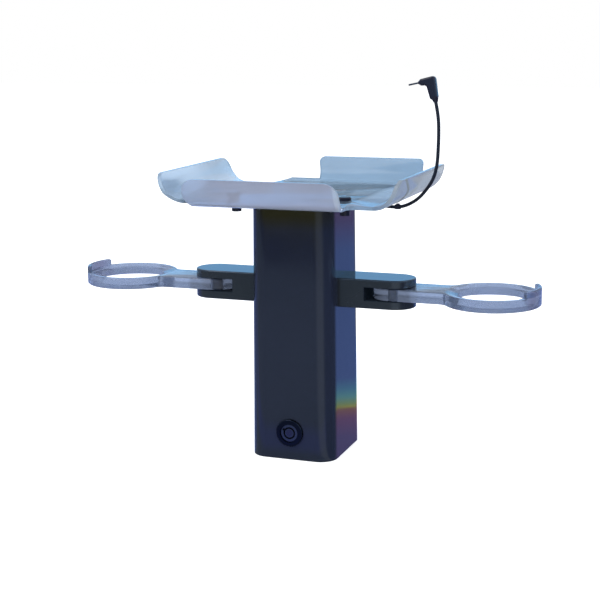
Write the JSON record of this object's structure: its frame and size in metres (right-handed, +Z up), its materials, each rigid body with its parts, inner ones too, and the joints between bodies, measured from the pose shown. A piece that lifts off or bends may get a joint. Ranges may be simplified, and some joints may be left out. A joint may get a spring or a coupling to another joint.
{
  "type": "vr headset charging stand",
  "caption": "Counter stand for a headset: lockable column, clear bent tray, swinging ring holders at the sides and a charging lead.",
  "frame": {"origin": "centre of the column's footprint, on the counter", "axes": "+Z up, +X to the right of a person facing the lock, -Y is the front with the lock"},
  "size_m": [0.3794, 0.1956, 0.3004],
  "materials": {
    "column_black": "high gloss",
    "fork_black": "high gloss",
    "tray_clear": "clear sheet with a faint frost",
    "arm_clear": "tinted, smooth",
    "bumper_rubber": "matte",
    "nut_black": "satin",
    "cord_black": "satin",
    "plug_black": "satin",
    "barrel_nickel": "plated",
    "lock_chrome": "dark plated",
    "lock_core_metal": "dark plated",
    "plate_steel": "plain",
    "screw_steel": "plated",
    "washer_plastic": "natural",
    "board_green": "lacquered",
    "socket_white": "plain",
    "component_black": "plain"
  },
  "bodies": {
    "stand": {"column_shell": "column_black", "base_plate": "plate_steel", "tray": "tray_clear", "tray_screws": "screw_steel", "left_bumper": "bumper_rubber", "right_bumper": "bumper_rubber", "bumper_nuts": "nut_black", "right_fork": "fork_black", "left_fork": "fork_black", "right_fork_screws": "screw_steel", "left_fork_screws": "screw_steel", "right_pivot_screw": "screw_steel", "left_pivot_screw": "screw_steel", "right_thrust_washers": "washer_plastic", "left_thrust_washers": "washer_plastic", "lock_barrel": "lock_chrome", "lock_nut": "screw_steel", "board_bracket": "plate_steel", "bracket_screws": "screw_steel", "board_standoffs": "screw_steel", "power_board": "board_green", "board_screws": "screw_steel", "output_socket": "socket_white", "inlet_socket": "component_black", "board_components": "component_black", "inner_lead": "cord_black", "cord_gland": "cord_black", "cord_clip": "nut_black", "charge_cord": "cord_black", "plug_body": "plug_black", "plug_barrel": "barrel_nickel"},
    "right_holder": {"right_arm": "arm_clear"},
    "left_holder": {"left_arm": "arm_clear"},
    "lock_core": {"lock_plug": "lock_core_metal", "lock_cam": "plate_steel", "cam_screw": "screw_steel"}
  },
  "joints": [
    {"name": "right_arm_swing", "type": "hinge", "parent": "stand", "child": "right_holder", "pos_m": [0.0755, -0.0032, 0.1337], "axis": [0, 0, 1], "range_deg": [-100, 100]},
    {"name": "left_arm_swing", "type": "hinge", "parent": "stand", "child": "left_holder", "pos_m": [-0.0755, -0.0032, 0.1337], "axis": [0, 0, 1], "range_deg": [-100, 100]},
    {"name": "lock_turn", "type": "hinge", "parent": "stand", "child": "lock_core", "pos_m": [0, -0.03, 0.022], "axis": [0, 1, 0], "range_deg": [0, 90]}
  ]
}
